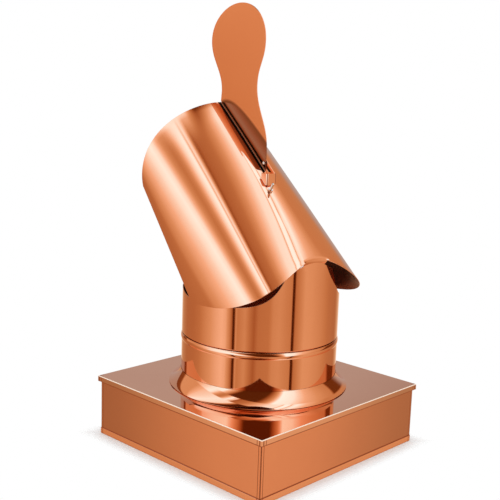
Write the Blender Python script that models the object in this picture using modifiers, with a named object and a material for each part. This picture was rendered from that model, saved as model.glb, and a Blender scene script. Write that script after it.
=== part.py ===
"""A turning chimney cowl in sheet copper.

A square base fits over the top of the flue. A round pipe stands on it, joined by a flared
collar. The head turns on the pipe: a short drum cut and bent over into a slanted hood,
with a paddle vane on its crest that swings the hood's mouth away from the wind.
Metres, +Z up. The origin is on the pipe's axis, level with the base's underside.
"""

import math

import bmesh
import bpy
from mathutils import Matrix, Vector

MM = 0.001

# Sheet and gaps
SHEET = 0.8 * MM
TOUCH_GAP = 0.3 * MM
RUNNING_GAP = 0.6 * MM
ROUND_SIDES = 72

# Base
SKIRT_SIDE = 304.8 * MM
LIP_OVERHANG = 3.1 * MM
LIP_THICKNESS = 1.6 * MM
LIP_DEPTH = 7.8 * MM
BASE_HEIGHT = 82.7 * MM
HEM_HEIGHT = 8.0 * MM

# Pipe and collar
PIPE_RADIUS = 106.0 * MM
PIPE_TOP = 152.0 * MM
PIPE_BELOW_PLATE = 12.0 * MM
BEAD_HEIGHT = 8.0 * MM
BEAD_PROUD = 1.0 * MM
BEAD_BELOW_TOP = 0.8 * MM
COLLAR_REACH = 15.5 * MM
COLLAR_HEIGHT = 19.0 * MM
COLLAR_HOLLOW = math.radians(20)

# Drum of the head
HEAD_TURN = math.radians(-8.1)
GROOVE_WIDTH = 1.8 * MM
SPIGOT_DEPTH = 20.0 * MM
DRUM_EDGE_Z = 207.5 * MM
MOUTH_SIDE_RISE = 7.0 * MM
MOUTH_SIDE_ANGLE = math.radians(95)
MOUTH_SIDE_SPREAD = math.radians(35)
TONGUE_SHOULDER_RISE = 46.5 * MM
TONGUE_SHOULDER_ANGLE = math.radians(20.8)
TONGUE_FLANK_ANGLE = math.radians(10)
BEND_LEG = 5.5 * MM

# Hood: its crest line, upper rim and lower edge, s being the distance away from the mouth
CREST_TOP_S = -102.4 * MM
CREST_TOP_Z = 457.9 * MM
CREST_FOOT_S = 109.8 * MM
CREST_FOOT_Z = 271.1 * MM
CREST_SWELL = 3.7 * MM
SWELL_SPREAD = math.radians(40)
RIM_HALF_ANGLE = math.radians(116.5)
RIM_TILT = math.radians(84.9)
RIM_DEEP = 98.2 * MM
RIM_DEEP_SECOND = -13.9 * MM
RIM_WIDE = 98.2 * MM
RIM_WIDE_SECOND = -21.5 * MM
RIM_BOW = 14.7 * MM
EDGE_HALF_ANGLE = math.radians(99.9)
EDGE_BACK = 229.0 * MM
EDGE_BACK_SECOND = -78.1 * MM
EDGE_BACK_THIRD = 4.4 * MM
EDGE_WIDE = 102.0 * MM
EDGE_WIDE_SECOND = -5.4 * MM
EDGE_WIDE_THIRD = -6.3 * MM
EDGE_DROP = 11.1 * MM
EDGE_DROP_SECOND = 28.8 * MM
EDGE_DROP_THIRD = -3.8 * MM
TONGUE_HALF_ANGLE = math.radians(14.7)
TONGUE_COLUMNS = 4
WING_COLUMNS = 18
HOOD_ROWS = 4
BEND_ROWS = 4
DRUM_ROWS = 4

# Vane, in the head's plane of symmetry
VANE_THICKNESS = 1.2 * MM
PADDLE_S = -68.6 * MM
PADDLE_Z = 541.8 * MM
PADDLE_HALF_WIDTH = 59.9 * MM
PADDLE_TOP_Z = 590.7 * MM
PADDLE_LEAN = 5.0 * MM
NECK_BACK_S = -23.6 * MM
NECK_BACK_Z = 482.0 * MM
NECK_FRONT_S = -102.0 * MM
NECK_FRONT_Z = 474.0 * MM
FOOT_BACK_S = 0.9 * MM
FOOT_FRONT_S = -103.3 * MM
FOOT_STRAIGHT = 30.0 * MM

# Clip and bolt at the vane's foot
CLIP_SHEET = 1.5 * MM
CLIP_WIDTH = 16.5 * MM
CLIP_DEPTH = 12.0 * MM
CLIP_BACK_S = 21.5 * MM
CLIP_FRONT_S = -8.0 * MM
CLIP_HEIGHT = 16.5 * MM
CLIP_ARM_HEIGHT = 11.0 * MM
CLIP_CLEARANCE = 1.0 * MM
BOLT_RADIUS = 1.75 * MM
BOLT_LENGTH = 14.0 * MM
BOLT_FROM_CLIP = 4.2 * MM
BOLT_SIDE = 11.5 * MM
NUT_RADIUS = 3.5 * MM
NUT_HEIGHT = 2.8 * MM
RIVET_RADIUS = 2.6 * MM
RIVET_HEIGHT = 2.0 * MM
RIVET_ABOVE_CREST = 6.5 * MM
RIVET_FROM_END = 3.4 * MM

# What follows from those sizes
SKIRT_HALF = SKIRT_SIDE / 2
LIP_HALF = SKIRT_HALF + LIP_OVERHANG
PLATE_UNDERSIDE = BASE_HEIGHT - SHEET
SPIGOT_RADIUS = PIPE_RADIUS - SHEET - RUNNING_GAP
CREST_ANGLE = math.atan2(CREST_TOP_Z - CREST_FOOT_Z, CREST_FOOT_S - CREST_TOP_S)


def clear_scene():
    for obj in list(bpy.data.objects):
        bpy.data.objects.remove(obj)


def collection(name):
    made = bpy.data.collections.new(name)
    bpy.context.scene.collection.children.link(made)
    return made


def copper(name, colour, roughness):
    made = bpy.data.materials.new(name)
    made.use_nodes = True
    shader = made.node_tree.nodes["Principled BSDF"]
    shader.inputs["Base Color"].default_value = (*colour, 1)
    shader.inputs["Metallic"].default_value = 1
    shader.inputs["Roughness"].default_value = roughness
    return made


def keep(obj, group, material, parent=None):
    """Puts a finished object in its collection, with its material and smooth shading."""
    for holder in list(obj.users_collection):
        holder.objects.unlink(obj)
    group.objects.link(obj)
    obj.data.materials.clear()
    obj.data.materials.append(material)
    obj.parent = parent
    if obj.type == "MESH":
        obj.data.shade_smooth()
        obj.data.set_sharp_from_angle(angle=math.radians(35))
    return obj


def mesh_object(name, mesh):
    obj = bpy.data.objects.new(name, mesh)
    bpy.context.scene.collection.objects.link(obj)
    return obj


def box(name, half_x, half_y, low, high, centre=(0, 0)):
    """A box from its half sides and its lower and upper height."""
    mesh = bpy.data.meshes.new(name)
    shape = bmesh.new()
    bmesh.ops.create_cube(shape, size=1)
    for vert in shape.verts:
        vert.co.x = centre[0] + vert.co.x * 2 * half_x
        vert.co.y = centre[1] + vert.co.y * 2 * half_y
        vert.co.z = low + (vert.co.z + 0.5) * (high - low)
    shape.to_mesh(mesh)
    shape.free()
    return mesh_object(name, mesh)


def rod(name, radius, length, sides=ROUND_SIDES):
    """A cylinder or prism that stands on the origin."""
    mesh = bpy.data.meshes.new(name)
    shape = bmesh.new()
    bmesh.ops.create_cone(
        shape, cap_ends=True, segments=sides, radius1=radius, radius2=radius, depth=length
    )
    bmesh.ops.translate(shape, vec=(0, 0, length / 2), verts=shape.verts)
    shape.to_mesh(mesh)
    shape.free()
    return mesh_object(name, mesh)


def turned(name, profile):
    """A closed profile of (radius, height) points turned round the pipe's axis."""
    mesh = bpy.data.meshes.new(name)
    points = [(radius, 0, height) for radius, height in profile]
    edges = [(i, (i + 1) % len(points)) for i in range(len(points))]
    mesh.from_pydata(points, edges, [])
    obj = mesh_object(name, mesh)
    screw = obj.modifiers.new("Turn", "SCREW")
    screw.steps = ROUND_SIDES
    screw.render_steps = ROUND_SIDES
    screw.use_merge_vertices = True
    screw.merge_threshold = 0.00001
    return obj


def combine(obj, tool, operation, helpers):
    """Cuts or joins with a tool, which moves to the helpers' collection."""
    for holder in list(tool.users_collection):
        holder.objects.unlink(tool)
    helpers.objects.link(tool)
    tool.hide_render = True
    tool.display_type = "WIRE"
    modifier = obj.modifiers.new(tool.name, "BOOLEAN")
    modifier.operation = operation
    modifier.object = tool
    return obj


def crest_z(s):
    """The height of the hood's crest line, on its outer side."""
    share = (CREST_FOOT_S - s) / (CREST_FOOT_S - CREST_TOP_S)
    swell = CREST_SWELL * math.sin(math.pi * share) / math.cos(CREST_ANGLE)
    return CREST_FOOT_Z + (CREST_FOOT_S - s) * math.tan(CREST_ANGLE) + swell


def crest_slope(s):
    return (crest_z(s + MM) - crest_z(s - MM)) / (2 * MM)


def base_top(helpers):
    """The plate with its drip lip folded down, and the hole that the pipe passes through."""
    obj = box("base_top", LIP_HALF, LIP_HALF, BASE_HEIGHT - LIP_DEPTH, BASE_HEIGHT)
    inside = LIP_HALF - LIP_THICKNESS
    hollow = box("lip_hollow", inside, inside, 0, PLATE_UNDERSIDE)
    combine(obj, hollow, "DIFFERENCE", helpers)
    hole = rod("pipe_hole", PIPE_RADIUS + TOUCH_GAP, BASE_HEIGHT + LIP_DEPTH)
    return combine(obj, hole, "DIFFERENCE", helpers)


def base_skirt(helpers):
    """Four sides under the plate, with a hem folded outwards along the bottom."""
    top = PLATE_UNDERSIDE - TOUCH_GAP
    obj = box("base_skirt", SKIRT_HALF, SKIRT_HALF, 0, top)
    hem = box("hem", SKIRT_HALF + SHEET, SKIRT_HALF + SHEET, 0, HEM_HEIGHT)
    combine(obj, hem, "UNION", helpers)
    inside = SKIRT_HALF - SHEET
    hollow = box("skirt_hollow", inside, inside, -HEM_HEIGHT, BASE_HEIGHT)
    return combine(obj, hollow, "DIFFERENCE", helpers)


def pipe():
    """The fixed pipe, with a rolled bead just below its top edge."""
    bead_top = PIPE_TOP - BEAD_BELOW_TOP
    profile = [(PIPE_RADIUS, PIPE_TOP)]
    steps = 6
    for i in range(steps + 1):
        turn = math.pi * i / steps
        height = bead_top - BEAD_HEIGHT * (1 - math.cos(turn)) / 2
        profile.append((PIPE_RADIUS + BEAD_PROUD * math.sin(turn), height))
    bottom = BASE_HEIGHT - PIPE_BELOW_PLATE
    profile.append((PIPE_RADIUS, bottom))
    profile.append((PIPE_RADIUS - SHEET, bottom))
    profile.append((PIPE_RADIUS - SHEET, PIPE_TOP))
    return turned("pipe", profile)


def flared_collar():
    """A bell-shaped flare over the joint: steep at the pipe, and flatter towards its rim."""
    foot = BASE_HEIGHT + TOUCH_GAP
    start = Vector((PIPE_RADIUS + TOUCH_GAP, foot + COLLAR_HEIGHT))
    chord = Vector((COLLAR_REACH, SHEET - COLLAR_HEIGHT))
    bend = chord.length / (2 * math.sin(COLLAR_HOLLOW))
    first = math.atan2(-chord.y, chord.x) + COLLAR_HOLLOW
    centre = start + Vector((math.sin(first), math.cos(first))) * bend
    steps = 6
    outer, inner = [], []
    for i in range(steps + 1):
        angle = first - 2 * COLLAR_HOLLOW * i / steps
        outward = Vector((math.sin(angle), math.cos(angle)))
        outer.append(tuple(centre - outward * bend))
        inner.append(tuple(centre - outward * (bend + SHEET)))
    # The sheet's inner side starts where it leaves the pipe.
    inner = [(radius, height) for radius, height in inner if radius > PIPE_RADIUS + TOUCH_GAP]
    inner.insert(0, (PIPE_RADIUS + TOUCH_GAP, inner[0][1] + SHEET))
    return turned("flared_collar", outer + inner[::-1])


def wave(angle, *sizes):
    """A sum of sine waves, which gives the sideways reach of the hood's edges."""
    return sum(size * math.sin(order * angle) for order, size in enumerate(sizes, 1))


def sweep(angle, *sizes):
    """The like sum for the reach along the plane of symmetry, nothing at the crest."""
    return sum(size * (1 - math.cos(order * angle)) for order, size in enumerate(sizes, 1))


def edge_point(angle):
    """A point of the hood's lower edge, before the bend at the tongue is rounded."""
    return Vector(
        (
            CREST_FOOT_S - sweep(angle, EDGE_BACK, EDGE_BACK_SECOND, EDGE_BACK_THIRD),
            wave(angle, EDGE_WIDE, EDGE_WIDE_SECOND, EDGE_WIDE_THIRD),
            CREST_FOOT_Z - sweep(angle, EDGE_DROP, EDGE_DROP_SECOND, EDGE_DROP_THIRD),
        )
    )


def rim_point(angle):
    """A point of the hood's upper rim, which leans towards the mouth and bows a little."""
    deep = sweep(angle, RIM_DEEP, RIM_DEEP_SECOND)
    bow = sweep(angle, 0, RIM_BOW)
    return Vector(
        (
            CREST_TOP_S - deep * math.cos(RIM_TILT) - bow * math.sin(RIM_TILT),
            wave(angle, RIM_WIDE, RIM_WIDE_SECOND),
            CREST_TOP_Z - deep * math.sin(RIM_TILT) + bow * math.cos(RIM_TILT),
        )
    )


def hood_point(angle, share):
    """A point of the hood's outer side, a share of the way up the ruling at this angle."""
    rim = rim_point(angle * RIM_HALF_ANGLE / EDGE_HALF_ANGLE)
    swell = CREST_SWELL * math.sin(math.pi * share) * math.exp(-((angle / SWELL_SPREAD) ** 2))
    outward = Vector((math.sin(CREST_ANGLE), 0, math.cos(CREST_ANGLE)))
    return edge_point(angle).lerp(rim, share) + outward * swell


def bend_share(angle):
    """How far up its ruling the hood starts to bend over to the tongue."""
    rim = rim_point(angle * RIM_HALF_ANGLE / EDGE_HALF_ANGLE)
    return BEND_LEG / (rim - edge_point(angle)).length


def drum_edge_z(angle):
    """The height of the drum's cut edge, which rises to the mouth and into the tongue."""
    turn = abs(angle)
    if turn > MOUTH_SIDE_ANGLE:
        share = min((turn - MOUTH_SIDE_ANGLE) / MOUTH_SIDE_SPREAD, 1)
        return DRUM_EDGE_Z + MOUTH_SIDE_RISE * (1 - math.cos(math.pi * share)) / 2
    shoulder = DRUM_EDGE_Z + TONGUE_SHOULDER_RISE
    if turn > TONGUE_SHOULDER_ANGLE:
        share = math.exp((TONGUE_SHOULDER_ANGLE - turn) / TONGUE_FLANK_ANGLE)
        return DRUM_EDGE_Z + TONGUE_SHOULDER_RISE * share
    corner = edge_point(TONGUE_HALF_ANGLE)
    corner_turn = math.atan2(corner.y, corner.x)
    share = (TONGUE_SHOULDER_ANGLE - turn) / (TONGUE_SHOULDER_ANGLE - corner_turn)
    return shoulder + (corner.z - BEND_LEG - shoulder) * share


def bend_points(angle):
    """The hood's ruling at this angle runs over the bend and down to the drum's wall."""
    corner = edge_point(angle)
    turn = math.atan2(corner.y, corner.x)
    top = hood_point(angle, bend_share(angle))
    foot = Vector((PIPE_RADIUS * math.cos(turn), PIPE_RADIUS * math.sin(turn), corner.z - BEND_LEG))
    points = []
    for i in range(BEND_ROWS + 1):
        t = i / BEND_ROWS
        points.append(top * (1 - t) ** 2 + corner * 2 * t * (1 - t) + foot * t**2)
    return points


def hood_column(angle):
    """Points down the hood from its rim to its lower edge, or over the bend at the tongue."""
    bend = bend_points(angle)
    low = bend_share(angle)
    points = [hood_point(angle, 1 - (1 - low) * i / HOOD_ROWS) for i in range(HOOD_ROWS)]
    if abs(angle) <= TONGUE_HALF_ANGLE + 1e-6:
        return points + bend
    half = BEND_ROWS // 2
    edge = edge_point(angle)
    return points + [bend[0].lerp(edge, i / half) for i in range(half + 1)]


def drum_column(turn, top_z):
    """Points up the drum, from the spigot inside the pipe to the cut edge."""
    rows = [
        (SPIGOT_RADIUS, PIPE_TOP - SPIGOT_DEPTH),
        (SPIGOT_RADIUS, PIPE_TOP + TOUCH_GAP),
        (PIPE_RADIUS, PIPE_TOP + GROOVE_WIDTH),
    ]
    start = PIPE_TOP + GROOVE_WIDTH
    for i in range(1, DRUM_ROWS + 1):
        rows.append((PIPE_RADIUS, start + (top_z - start) * i / DRUM_ROWS))
    return [Vector((r * math.cos(turn), r * math.sin(turn), z)) for r, z in rows]


def head_shell():
    """Drum, tongue and hood: one sheet, slit beside the tongue and bent over at its top."""
    shape = bmesh.new()

    def strip(columns):
        for left, right in zip(columns, columns[1:]):
            for i in range(min(len(left), len(right)) - 1):
                shape.faces.new((left[i], left[i + 1], right[i + 1], right[i]))

    tongue = [
        TONGUE_HALF_ANGLE * (2 * i / TONGUE_COLUMNS - 1) for i in range(TONGUE_COLUMNS + 1)
    ]
    wing = [
        TONGUE_HALF_ANGLE + (EDGE_HALF_ANGLE - TONGUE_HALF_ANGLE) * i / WING_COLUMNS
        for i in range(1, WING_COLUMNS + 1)
    ]
    angles = [-angle for angle in reversed(wing)] + tongue + wing
    hood = [[shape.verts.new(point) for point in hood_column(angle)] for angle in angles]
    strip(hood)

    # The drum's columns at the tongue end in the last points of the hood's own columns.
    drum = []
    for column, angle in zip(hood[WING_COLUMNS : WING_COLUMNS + TONGUE_COLUMNS + 1], tongue):
        foot = column[-1].co
        points = drum_column(math.atan2(foot.y, foot.x), foot.z)
        drum.append([shape.verts.new(point) for point in points[:-1]] + [column[-1]])
    corner = edge_point(TONGUE_HALF_ANGLE)
    first = math.atan2(corner.y, corner.x)
    flank = TONGUE_SHOULDER_ANGLE + 2 * TONGUE_FLANK_ANGLE
    turns = [first + (TONGUE_SHOULDER_ANGLE - first) * i / 2 for i in (1, 2)]
    turns += [TONGUE_SHOULDER_ANGLE + (flank - TONGUE_SHOULDER_ANGLE) * i / 5 for i in range(1, 6)]
    rest = round((2 * math.pi - 2 * flank) / (2 * math.pi / ROUND_SIDES))
    turns += [flank + (2 * math.pi - 2 * flank) * i / rest for i in range(1, rest)]
    turns += [2 * math.pi - turn for turn in reversed(turns[: 2 + 5])]
    for turn in turns:
        nearest = math.atan2(math.sin(turn), math.cos(turn))
        points = drum_column(turn, drum_edge_z(nearest))
        drum.append([shape.verts.new(point) for point in points])
    drum.append(drum[0])
    strip([column[::-1] for column in drum])

    bmesh.ops.recalc_face_normals(shape, faces=shape.faces)
    crest_face = max(shape.faces, key=lambda face: face.calc_center_median().z)
    if crest_face.normal.z < 0:
        bmesh.ops.reverse_faces(shape, faces=shape.faces)
    mesh = bpy.data.meshes.new("head_shell")
    shape.to_mesh(mesh)
    shape.free()
    obj = mesh_object("head_shell", mesh)
    sheet = obj.modifiers.new("Sheet", "SOLIDIFY")
    sheet.thickness = SHEET
    sheet.offset = -1
    sheet.use_even_offset = True
    return obj


def vane():
    """A flat paddle on a neck, whose foot follows the crest line."""
    gap = TOUCH_GAP / math.cos(CREST_ANGLE)
    paddle_back = PADDLE_S + PADDLE_HALF_WIDTH
    paddle_front = PADDLE_S - PADDLE_HALF_WIDTH
    round_handle = 0.5523 * (PADDLE_TOP_Z - PADDLE_Z)
    neck_handle = 0.45 * (PADDLE_Z - NECK_BACK_Z)
    foot_back_z = crest_z(FOOT_BACK_S) + gap
    foot_front_z = crest_z(FOOT_FRONT_S) + gap
    straight = foot_back_z + FOOT_STRAIGHT
    third = (FOOT_BACK_S - FOOT_FRONT_S) / 3
    # Each point: s, z, then the handle before it and the handle after it.
    points = [
        (FOOT_FRONT_S, foot_front_z, (0, 4 * MM), (third, third * crest_slope(FOOT_FRONT_S))),
        (
            FOOT_BACK_S,
            foot_back_z,
            (-third, -third * crest_slope(FOOT_BACK_S)),
            (0, FOOT_STRAIGHT / 3),
        ),
        (FOOT_BACK_S, straight, (0, -FOOT_STRAIGHT / 3), (0, FOOT_STRAIGHT)),
        (NECK_BACK_S, NECK_BACK_Z, (0, -FOOT_STRAIGHT), (0, neck_handle)),
        (paddle_back, PADDLE_Z, (0, -neck_handle), (0, round_handle)),
        (
            PADDLE_S + PADDLE_LEAN,
            PADDLE_TOP_Z,
            (0.5523 * PADDLE_HALF_WIDTH, 0),
            (-0.5523 * PADDLE_HALF_WIDTH, 0),
        ),
        (paddle_front, PADDLE_Z, (0, round_handle), (0, -neck_handle)),
        (NECK_FRONT_S, NECK_FRONT_Z, (0, neck_handle), (0, -4 * MM)),
    ]
    curve = bpy.data.curves.new("vane_outline", "CURVE")
    curve.dimensions = "2D"
    curve.fill_mode = "BOTH"
    curve.extrude = VANE_THICKNESS / 2
    curve.resolution_u = 8
    spline = curve.splines.new("BEZIER")
    spline.bezier_points.add(len(points) - 1)
    spline.use_cyclic_u = True
    for point, (s, z, before, after) in zip(spline.bezier_points, points):
        point.handle_left_type = "FREE"
        point.handle_right_type = "FREE"
        point.co = (s, z, 0)
        point.handle_left = (s + before[0], z + before[1], 0)
        point.handle_right = (s + after[0], z + after[1], 0)
    obj = bpy.data.objects.new("vane", curve)
    obj.rotation_euler = (math.pi / 2, 0, 0)
    return obj


def hood_seat(s, y, lift):
    """A place lifted off the hood at s and y: its x runs down the slope, its z outwards."""
    angle, share, step = 0.1, 0.5, 1e-4
    for _ in range(8):
        point = hood_point(angle, share)
        across = (hood_point(angle + step, share) - point) / step
        along = (hood_point(angle, share + step) - point) / step
        error = Vector((s - point.x, y - point.y))
        size = across.x * along.y - across.y * along.x
        angle += (error.x * along.y - error.y * along.x) / size
        share += (across.x * error.y - across.y * error.x) / size
    down = -along.normalized()
    normal = across.cross(along).normalized()
    if normal.z < 0:
        normal.negate()
    turn = Matrix((down, normal.cross(down), normal)).transposed().to_4x4()
    return Matrix.Translation(hood_point(angle, share) + normal * lift) @ turn


def vane_clip(helpers):
    """A strip folded twice: along the vane's far side, across behind it, and back up the slope."""
    front = CLIP_BACK_S - CLIP_DEPTH
    arm_side = VANE_THICKNESS / 2 + TOUCH_GAP + CLIP_SHEET
    top = crest_z(CLIP_BACK_S) + CLIP_HEIGHT
    low = crest_z(CLIP_BACK_S) - CLIP_DEPTH
    middle = ((front + CLIP_BACK_S) / 2, arm_side - CLIP_WIDTH / 2)
    obj = box("vane_clip", CLIP_DEPTH / 2, CLIP_WIDTH / 2, low, top, middle)
    inner = box(
        "clip_hollow",
        CLIP_DEPTH / 2,
        CLIP_WIDTH / 2 - CLIP_SHEET,
        low - CLIP_DEPTH,
        top + CLIP_DEPTH,
        (middle[0] - CLIP_SHEET, middle[1]),
    )
    combine(obj, inner, "DIFFERENCE", helpers)
    reach = (front + CLIP_SHEET - CLIP_FRONT_S) / 2
    arm_top = crest_z(CLIP_FRONT_S) + CLIP_ARM_HEIGHT
    arm = box(
        "clip_arm",
        reach,
        CLIP_SHEET / 2,
        low,
        arm_top,
        (CLIP_FRONT_S + reach, arm_side - CLIP_SHEET / 2),
    )
    combine(obj, arm, "UNION", helpers)
    # The lower side is cut to the slope of the hood, and clears its round.
    far = 4 * CLIP_WIDTH
    under = box("clip_slope", far, far, -far, 0)
    under.matrix_basis = hood_seat(middle[0], middle[1], CLIP_CLEARANCE)
    return combine(obj, under, "DIFFERENCE", helpers)


def vane_bolt():
    bolt = rod("vane_bolt", BOLT_RADIUS, BOLT_LENGTH, 16)
    bolt.matrix_basis = hood_seat(CLIP_BACK_S + BOLT_FROM_CLIP, -BOLT_SIDE, TOUCH_GAP)
    return bolt


def vane_nut(helpers):
    nut = rod("vane_nut", NUT_RADIUS, NUT_HEIGHT, 6)
    bore = rod("nut_bore", BOLT_RADIUS + TOUCH_GAP, 4 * NUT_HEIGHT, 16)
    s = CLIP_BACK_S + BOLT_FROM_CLIP
    nut.matrix_basis = hood_seat(s, -BOLT_SIDE, TOUCH_GAP)
    bore.matrix_basis = hood_seat(s, -BOLT_SIDE, -NUT_HEIGHT)
    return combine(nut, bore, "DIFFERENCE", helpers)


def vane_rivet():
    """The round head that holds the vane's foot to the clip's arm, on the near side."""
    obj = rod("vane_rivet", RIVET_RADIUS, RIVET_HEIGHT, 16)
    s = FOOT_BACK_S - RIVET_FROM_END
    obj.rotation_euler = (math.pi / 2, 0, 0)
    obj.location = (s, -VANE_THICKNESS / 2 - TOUCH_GAP, crest_z(s) + RIVET_ABOVE_CREST)
    return obj


def main():
    clear_scene()
    parts = collection("chimney_cowl")
    helpers = collection("cutters")
    polished = copper("polished_copper", (0.86, 0.43, 0.26), 0.08)
    satin = copper("satin_copper", (0.83, 0.42, 0.26), 0.28)
    plated = copper("bolt_metal", (0.75, 0.62, 0.55), 0.2)

    keep(base_top(helpers), parts, polished)
    keep(base_skirt(helpers), parts, satin)
    keep(pipe(), parts, polished)
    keep(flared_collar(), parts, polished)

    head_axis = bpy.data.objects.new("head_axis", None)
    head_axis.rotation_euler = (0, 0, HEAD_TURN)
    parts.objects.link(head_axis)
    keep(head_shell(), parts, polished, head_axis)
    keep(vane(), parts, satin, head_axis)
    clip = keep(vane_clip(helpers), parts, polished, head_axis)
    bolt_nut = keep(vane_nut(helpers), parts, plated, head_axis)
    keep(vane_bolt(), parts, plated, head_axis)
    keep(vane_rivet(), parts, plated, head_axis)
    # The tools that cut a turned piece turn with it.
    for obj in (clip, bolt_nut):
        for modifier in obj.modifiers:
            modifier.object.parent = head_axis


main()
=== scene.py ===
"""A turning chimney cowl in sheet copper: fine surfaces, finishes, studio light and camera.

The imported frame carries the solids. Each piece here follows the same sizes, with a smoother
surface, rounded cut edges and the finish of the real sheet.
"""

import math

import bmesh
import bpy
from mathutils import Matrix, Vector


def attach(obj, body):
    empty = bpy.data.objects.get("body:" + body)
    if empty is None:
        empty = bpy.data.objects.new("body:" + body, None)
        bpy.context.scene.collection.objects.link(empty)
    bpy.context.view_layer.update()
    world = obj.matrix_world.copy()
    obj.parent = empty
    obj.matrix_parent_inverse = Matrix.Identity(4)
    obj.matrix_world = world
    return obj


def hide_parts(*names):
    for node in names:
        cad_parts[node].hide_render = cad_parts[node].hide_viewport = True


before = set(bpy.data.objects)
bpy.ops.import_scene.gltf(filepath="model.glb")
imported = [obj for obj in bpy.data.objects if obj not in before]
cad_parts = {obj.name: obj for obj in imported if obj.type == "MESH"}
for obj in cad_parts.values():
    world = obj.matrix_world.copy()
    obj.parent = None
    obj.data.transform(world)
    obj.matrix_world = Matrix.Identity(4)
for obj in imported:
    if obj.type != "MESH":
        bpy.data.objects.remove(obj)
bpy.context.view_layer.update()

MM = 0.001

# Sheet and gaps, as in the solids
SHEET = 0.8 * MM
TOUCH_GAP = 0.3 * MM
RUNNING_GAP = 0.6 * MM
EDGE_ROUND = 0.22 * MM

# Base
SKIRT_HALF = 152.4 * MM
LIP_HALF = 155.5 * MM
LIP_THICKNESS = 1.6 * MM
LIP_DEPTH = 7.8 * MM
BASE_HEIGHT = 82.7 * MM
HEM_HEIGHT = 8.0 * MM
PLATE_UNDERSIDE = BASE_HEIGHT - SHEET

# Pipe and collar
PIPE_RADIUS = 106.0 * MM
PIPE_TOP = 152.0 * MM
PIPE_BELOW_PLATE = 12.0 * MM
BEAD_HEIGHT = 8.0 * MM
BEAD_PROUD = 1.0 * MM
BEAD_BELOW_TOP = 0.8 * MM
COLLAR_REACH = 15.5 * MM
COLLAR_HEIGHT = 19.0 * MM
COLLAR_HOLLOW = math.radians(20)
TURN_SIDES = 240

# Drum of the head
HEAD_TURN = math.radians(-8.1)
GROOVE_WIDTH = 1.8 * MM
SPIGOT_DEPTH = 20.0 * MM
SPIGOT_RADIUS = PIPE_RADIUS - SHEET - RUNNING_GAP
DRUM_EDGE_Z = 207.5 * MM
MOUTH_SIDE_RISE = 7.0 * MM
MOUTH_SIDE_ANGLE = math.radians(95)
MOUTH_SIDE_SPREAD = math.radians(35)
TONGUE_SHOULDER_RISE = 46.5 * MM
TONGUE_SHOULDER_ANGLE = math.radians(20.8)
TONGUE_FLANK_ANGLE = math.radians(10)
BEND_LEG = 5.5 * MM

# Hood: its crest line, upper rim and lower edge, s being the distance away from the mouth.
# Each edge is a sum of waves in the angle from the crest: first, second and third order.
CREST_TOP_S = -102.4 * MM
CREST_TOP_Z = 457.9 * MM
CREST_FOOT_S = 109.8 * MM
CREST_FOOT_Z = 271.1 * MM
CREST_ANGLE = math.atan2(CREST_TOP_Z - CREST_FOOT_Z, CREST_FOOT_S - CREST_TOP_S)
CREST_SWELL = 3.7 * MM
SWELL_SPREAD = math.radians(40)
RIM_HALF_ANGLE = math.radians(116.5)
RIM_TILT = math.radians(84.9)
RIM_DEEP = (98.2 * MM, -13.9 * MM)
RIM_WIDE = (98.2 * MM, -21.5 * MM)
RIM_BOW = (0, 14.7 * MM)
EDGE_HALF_ANGLE = math.radians(99.9)
EDGE_BACK = (229.0 * MM, -78.1 * MM, 4.4 * MM)
EDGE_WIDE = (102.0 * MM, -5.4 * MM, -6.3 * MM)
EDGE_DROP = (11.1 * MM, 28.8 * MM, -3.8 * MM)
TONGUE_HALF_ANGLE = math.radians(14.7)
TONGUE_COLUMNS = 12
WING_COLUMNS = 96
HOOD_ROWS = 30
BEND_ROWS = 12
DRUM_ROWS = 12
DRUM_COLUMNS = 200

# Vane, in the head's plane of symmetry
VANE_THICKNESS = 1.2 * MM
PADDLE_S = -68.6 * MM
PADDLE_Z = 541.8 * MM
PADDLE_HALF_WIDTH = 59.9 * MM
PADDLE_TOP_Z = 590.7 * MM
PADDLE_LEAN = 5.0 * MM
NECK_BACK_S = -23.6 * MM
NECK_BACK_Z = 482.0 * MM
NECK_FRONT_S = -102.0 * MM
NECK_FRONT_Z = 474.0 * MM
FOOT_BACK_S = 0.9 * MM
FOOT_FRONT_S = -103.3 * MM
FOOT_STRAIGHT = 30.0 * MM

# Clip, bolt, nut and rivet at the vane's foot
CLIP_SHEET = 1.5 * MM
CLIP_WIDTH = 16.5 * MM
CLIP_DEPTH = 12.0 * MM
CLIP_BACK_S = 21.5 * MM
CLIP_FRONT_S = -8.0 * MM
CLIP_HEIGHT = 16.5 * MM
CLIP_ARM_HEIGHT = 11.0 * MM
CLIP_CLEARANCE = 1.0 * MM
BOLT_RADIUS = 1.75 * MM
BOLT_LENGTH = 14.0 * MM
BOLT_FROM_CLIP = 4.2 * MM
BOLT_SIDE = 11.5 * MM
THREAD_PITCH = 0.7 * MM
THREAD_DEPTH = 0.2 * MM
NUT_RADIUS = 3.5 * MM
NUT_HEIGHT = 2.8 * MM
RIVET_RADIUS = 2.6 * MM
RIVET_HEIGHT = 2.0 * MM
RIVET_ABOVE_CREST = 6.5 * MM
RIVET_FROM_END = 3.4 * MM

# Camera, as fitted to the photograph's 500 by 500 frame
CAMERA_PLACE = (0.8325, -0.8907, 0.4883)
CAMERA_AZIMUTH = math.radians(43.85)
CAMERA_PITCH = math.radians(10.41)
CAMERA_ROLL = math.radians(1.92)
CAMERA_LENS = 66.3


def mesh_object(name, mesh):
    obj = bpy.data.objects.new(name, mesh)
    bpy.context.scene.collection.objects.link(obj)
    return obj


def shape_object(name, shape):
    mesh = bpy.data.meshes.new(name)
    shape.to_mesh(mesh)
    shape.free()
    return mesh_object(name, mesh)


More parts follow.
